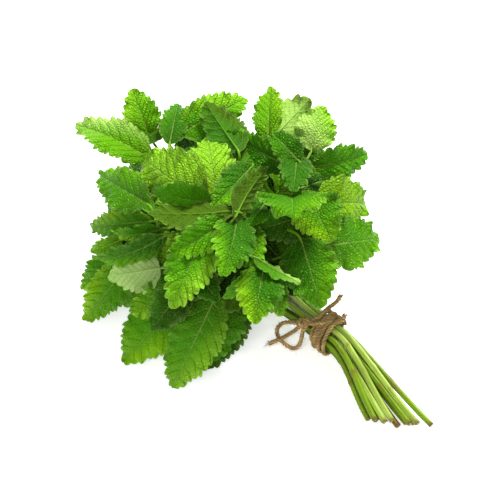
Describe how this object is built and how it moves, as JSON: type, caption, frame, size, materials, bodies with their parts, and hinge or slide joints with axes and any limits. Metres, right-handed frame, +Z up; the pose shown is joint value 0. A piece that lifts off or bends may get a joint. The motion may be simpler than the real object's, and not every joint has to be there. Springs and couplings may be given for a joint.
{
  "type": "tied bunch of mint",
  "caption": "Bunch of fresh cut mint lying on its side, leafy stems fanned out and held at the neck by a twine bow.",
  "frame": {"origin": "on the surface that the bunch lies on, under the twine that ties its neck", "axes": "+Y along the bunch from the tie towards the leaves, +Z up from the surface, +X across it"},
  "size_m": [0.1832, 0.2693, 0.1107],
  "materials": {
    "leaf_and_stem": "fresh green mint leaf and stem, softly glossy, about as dense as water",
    "twine": "rough twisted jute"
  },
  "bodies": {
    "root": {"leafy_stem_01": "leaf_and_stem", "leafy_stem_02": "leaf_and_stem", "leafy_stem_03": "leaf_and_stem", "leafy_stem_04": "leaf_and_stem", "leafy_stem_05": "leaf_and_stem", "leafy_stem_06": "leaf_and_stem", "leafy_stem_07": "leaf_and_stem", "leafy_stem_08": "leaf_and_stem", "leafy_stem_09": "leaf_and_stem", "leafy_stem_10": "leaf_and_stem", "leafy_stem_11": "leaf_and_stem", "leafy_stem_12": "leaf_and_stem", "twine_tie": "twine"}
  },
  "joints": []
}
